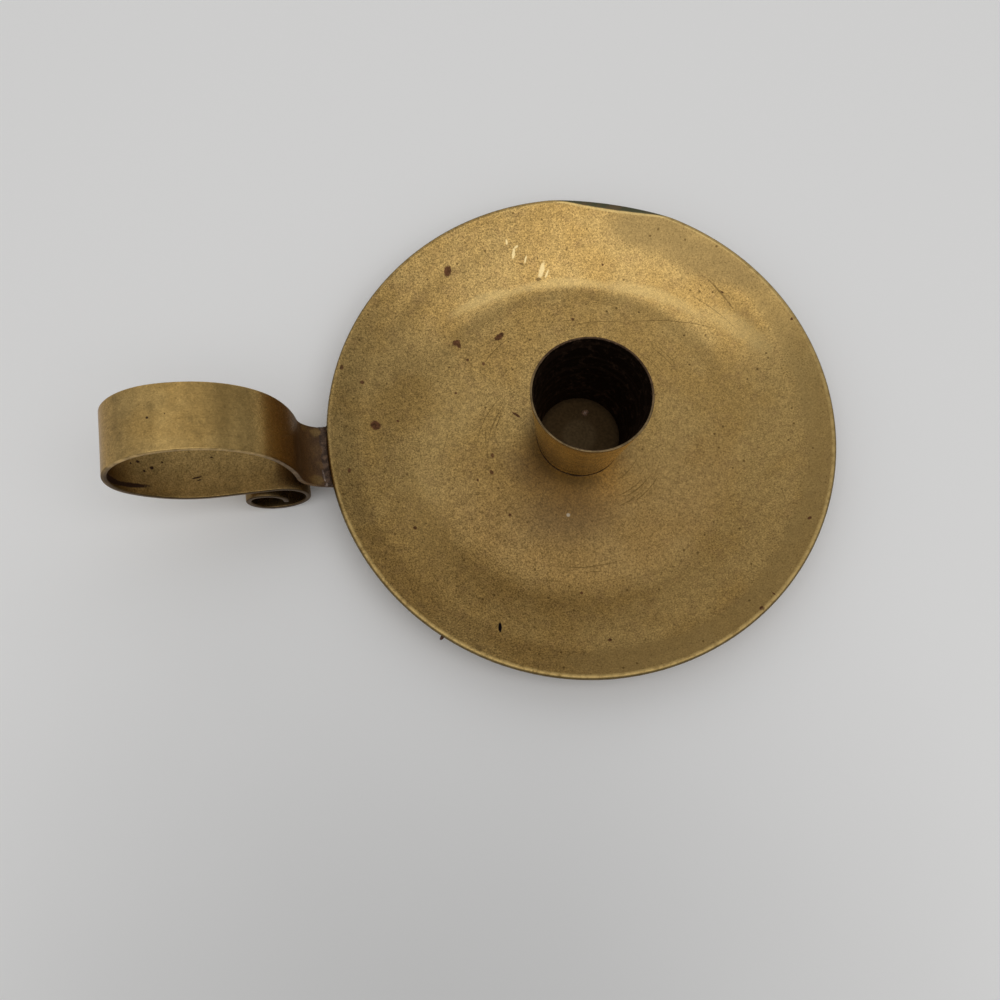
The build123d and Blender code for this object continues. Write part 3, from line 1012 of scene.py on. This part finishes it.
view = {
    "turn": -8.26,
    "cameraPlace": (-34.042, -70.359, 203.461),
    "cameraAngles": (16.638, -2.063, -8.260),
    "lens": 37.8,
    "sensor": 36.0,
}
light = {
    "height": 900.0,
    # Each panel's left, right, near and far edges, as angles from straight up, and its brightness
    "wide": ((-32.0, 42.0, -38.0, 3.0), 0.66),
    "hot": ((-14.0, 40.0, -14.0, 0.0), 0.90),
    "far": ((-42.0, 42.0, 22.0, 60.0), 0.17),
    "sky": 0.47,
    "farHorizon": 0.50,
    "nearHorizon": 0.16,
    "table": (0.965, 0.962, 0.955),
    # painted shadow: the table is darker in front of the part
    "tableShadow": 0.29,      # how much darker the table is in front of the part
    "shadePlace": (-50.0, -125.0),
    "shadeReach": 75.0,
}


def makeTable():
    size = 3000 * mm
    mesh = bpy.data.meshes.new("table")
    corners = np.array([(-1, -1, 0), (1, -1, 0), (1, 1, 0), (-1, 1, 0)]) * size
    mesh.from_pydata(corners.tolist(), [], [(0, 1, 2, 3)])
    table = bringIn("table", mesh)
    f = Finish("paleTable", metallic=0.0)
    oval = (*light["shadePlace"], light["shadeReach"], light["shadeReach"], 0)
    # A painted soft shadow on the table in front of the part
    shade = f.marks([oval], f.place, f.noise(60, 3), 0.1, 0.95)
    shade = f.math("SUBTRACT", 1.0, f.times(shade, light["tableShadow"]))
    f.coat([table], f.tint(1.0, light["table"], shade, "MULTIPLY"), 0.85)


def makePanel(name):
    # A flat panel overhead, square to the photograph, as wide as its edge angles say
    edges, brightness = light[name]
    left, right, front, back = light["height"] * np.tan(np.radians(edges))
    lamp = bpy.data.lights.new(name + "Panel", "AREA")
    lamp.shape = "RECTANGLE"
    lamp.size, lamp.size_y = (right - left) * mm, (back - front) * mm
    lamp.energy = brightness * pi * lamp.size * lamp.size_y
    holder = bringIn(name + "Panel", lamp)
    c, s = cos(radians(view["turn"])), sin(radians(view["turn"]))
    x, y = (left + right) / 2, (front + back) / 2
    holder.location = np.array([x * c - y * s, x * s + y * c, light["height"]]) * mm
    holder.rotation_euler.z = radians(view["turn"])


def makeSurround():
    # Grey all round, brighter overhead. The horizon is darkest on the near side and to the right.
    world = bpy.data.worlds.new("surround")
    bpy.context.scene.world = world
    world.use_nodes = True
    f = Nodes(world.node_tree)
    way = f.add("ShaderNodeTexCoord").outputs["Generated"]
    side = f.vector("DOT_PRODUCT", way, (-0.45, 0.89, 0))
    horizon = f.step(side, -1, 1, light["nearHorizon"], light["farHorizon"], "LINEAR")
    background = f.tree.nodes["Background"]
    f.feed(background.inputs["Color"], (1, 1, 1))
    f.feed(background.inputs["Strength"], f.step(f.parts(way)[2], 0, 1, horizon, light["sky"], "LINEAR"))


def makeCamera():
    camera = bpy.data.cameras.new("camera")
    camera.lens, camera.sensor_width = view["lens"], view["sensor"]
    camera.clip_start, camera.clip_end = 1 * mm, 20.0
    holder = bringIn("camera", camera)
    holder.location = np.array(view["cameraPlace"]) * mm
    holder.rotation_euler = np.radians(view["cameraAngles"])
    bpy.context.scene.camera = holder


makeTable()
for name in ("wide", "hot", "far"):
    makePanel(name)
makeSurround()
makeCamera()
bpy.context.scene.view_settings.view_transform = "Standard"
print("table, light and camera placed")
